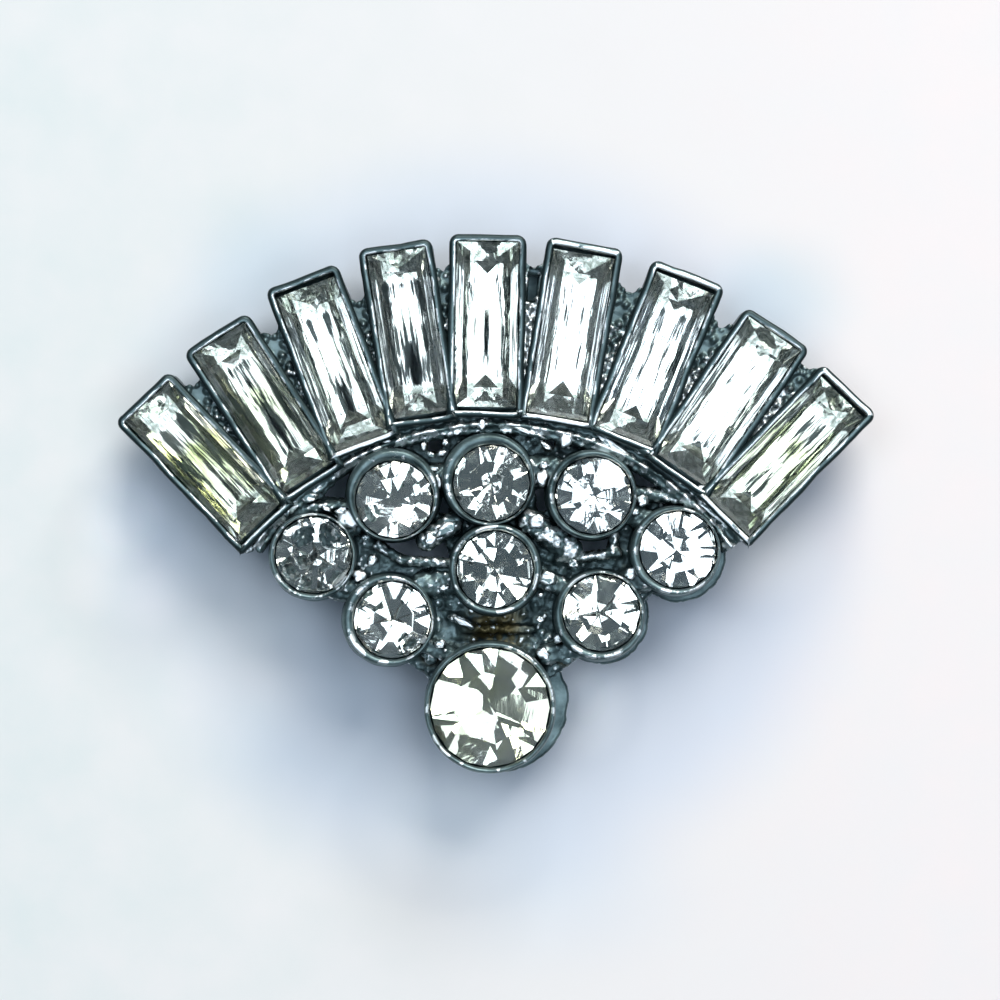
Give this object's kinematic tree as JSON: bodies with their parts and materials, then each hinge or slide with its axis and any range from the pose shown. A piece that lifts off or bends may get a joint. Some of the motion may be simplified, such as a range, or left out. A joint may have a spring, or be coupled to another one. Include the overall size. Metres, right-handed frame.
{
  "type": "rhinestone brooch",
  "caption": "Fan-shaped brooch of cast grey metal set with long step-cut stones above a triangle of round stones, a larger round stone at its foot and a pin across its flat back.",
  "frame": {"origin": "middle of the brooch's outline, on the surface that it lies on", "axes": "+X to the right of the fan as seen from the front, +Y from the large round stone towards the fan, +Z out of the stones, away from the back"},
  "size_m": [0.0345, 0.0246, 0.0066],
  "materials": {
    "cast_metal": "worn bright plating over cast white metal, greyed in the recesses",
    "baguette_glass": "clear step-cut glass with a silvered, slightly yellowed back",
    "chaton_glass": "clear brilliant-cut glass with a silvered back",
    "large_stone_glass": "clear brilliant-cut glass with a silvered, warm back",
    "pin_metal": "plain plated brass wire and strip, dulled"
  },
  "bodies": {
    "root": {"cast_setting": "cast_metal", "baguette_1": "baguette_glass", "baguette_2": "baguette_glass", "baguette_3": "baguette_glass", "baguette_4": "baguette_glass", "baguette_5": "baguette_glass", "baguette_6": "baguette_glass", "baguette_7": "baguette_glass", "baguette_8": "baguette_glass", "baguette_9": "baguette_glass", "chaton_upper_left": "chaton_glass", "chaton_upper_middle": "chaton_glass", "chaton_upper_right": "chaton_glass", "chaton_left": "chaton_glass", "chaton_middle": "chaton_glass", "chaton_right": "chaton_glass", "chaton_lower_left": "chaton_glass", "chaton_lower_right": "chaton_glass", "chaton_large": "large_stone_glass", "pin_back": "pin_metal"}
  },
  "joints": []
}
